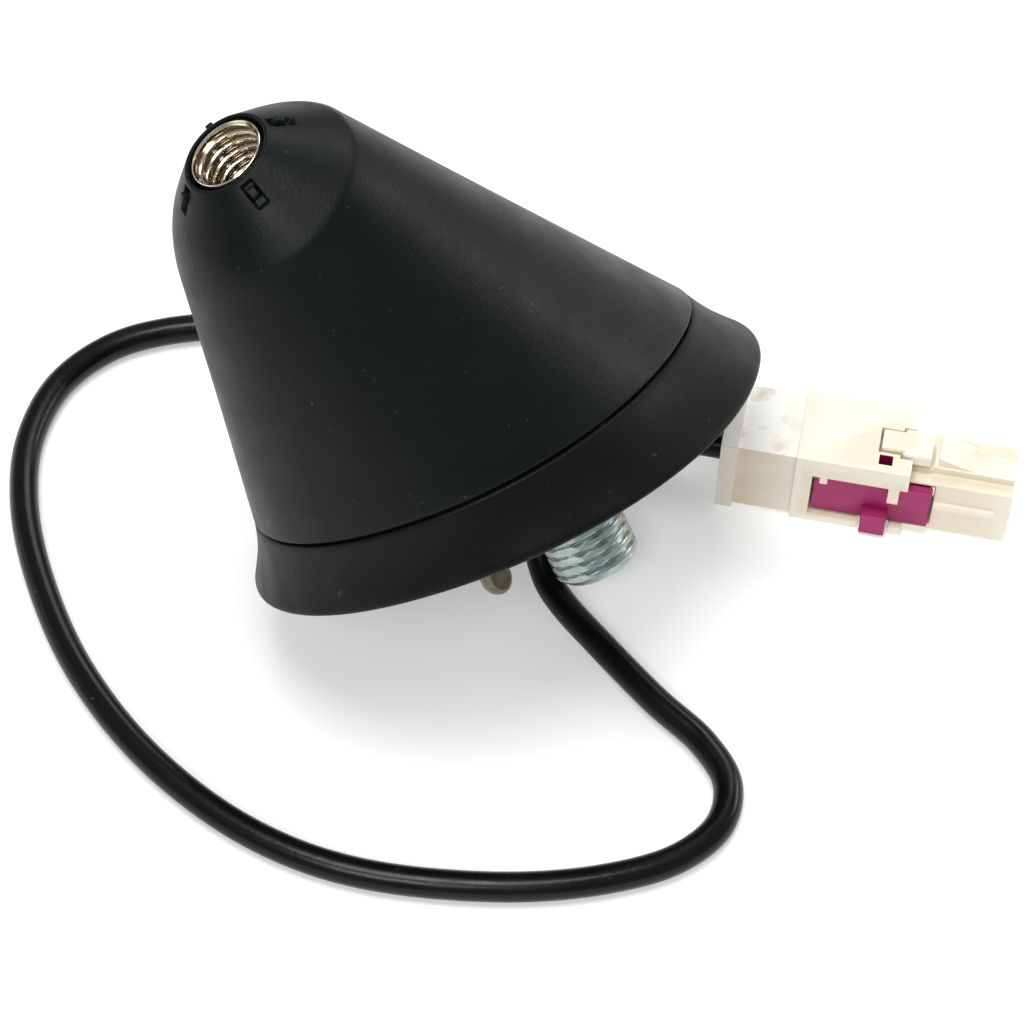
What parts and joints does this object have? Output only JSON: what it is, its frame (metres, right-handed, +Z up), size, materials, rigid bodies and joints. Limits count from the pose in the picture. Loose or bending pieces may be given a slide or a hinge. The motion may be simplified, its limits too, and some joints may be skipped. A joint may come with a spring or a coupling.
{
  "type": "car roof aerial base with amplifier",
  "caption": "Leaning cone-shaped aerial foot with a mast socket, an amplifier inside, a threaded roof stud and a coaxial lead that ends in a latched RF plug.",
  "frame": {"origin": "On the table plane, under the middle of the foot's bounding box without its lead and plug. The foot lies tilted on the edge of its skirt, as in the picture.", "axes": "+Z up from the table, the foot's longest extent as it lies; +X to the right in the picture, roughly along the plug; +Y away from the viewer"},
  "size_m": [0.119, 0.0826, 0.074],
  "materials": {
    "cover_plastic": "fine spark-eroded black moulding",
    "skirt_rubber": "fine grained black moulding, slightly warmer than the cover",
    "gasket_rubber": "matt black rubber",
    "zinc_plate": "blue-passivated zinc plate",
    "cast_metal": "die-cast, as cast",
    "peg_steel": "plated steel, brownish",
    "nickel": "warm nickel plate",
    "brass": "bright",
    "board_green": "solder-masked laminate",
    "tin_plate": "bright tin plate",
    "chip_black": "moulded epoxy",
    "copper": "enamelled copper wire",
    "ceramic": "fired ceramic",
    "screw_steel": "zinc plated",
    "lead_jacket": "glossy black jacket",
    "plug_ivory": "ivory moulding, slightly glossy",
    "collar_ivory": "ivory moulding, slightly darker",
    "lock_magenta": "magenta moulding",
    "insulator_white": "natural fluoropolymer"
  },
  "bodies": {
    "foot": {"cover_shell": "cover_plastic", "skirt": "skirt_rubber", "base_plate": "cast_metal", "roof_gasket": "gasket_rubber", "stud_seal": "gasket_rubber", "threaded_stud": "zinc_plate", "locating_peg": "peg_steel", "lead_grommet": "gasket_rubber", "mast_socket": "nickel", "mast_strap": "brass", "amplifier_board": "board_green", "shield_can": "tin_plate", "amplifier_chip": "chip_black", "supply_choke": "copper", "filter_coil": "copper", "capacitor_1": "ceramic", "capacitor_2": "ceramic", "capacitor_3": "ceramic", "lead_tail": "lead_jacket", "lead_ferrule": "tin_plate", "cover_screw_1": "screw_steel", "cover_screw_2": "screw_steel", "cover_screw_3": "screw_steel", "board_screw_1": "screw_steel", "board_screw_2": "screw_steel", "board_screw_3": "screw_steel", "plug_housing": "plug_ivory", "plug_collar": "collar_ivory", "crimp_ferrule": "tin_plate", "outer_contact": "nickel", "contact_insulator": "insulator_white", "centre_contact": "brass", "coax_lead": "lead_jacket"},
    "latch": {"plug_latch": "plug_ivory"},
    "lock": {"secondary_lock": "lock_magenta"}
  },
  "joints": [
    {"name": "latch_press", "type": "hinge", "parent": "foot", "child": "latch", "pos_m": [0.04799, 0.0101, 0.01105], "axis": [0.1908, 0.9816, 0], "range_deg": [0, 7], "stiffness_Nm_per_rad": 0.3, "springref_deg": -0.57},
    {"name": "lock_slide", "type": "slide", "parent": "foot", "child": "lock", "axis": [0.1908, 0.9816, 0], "range_m": [0, 0.001]}
  ]
}
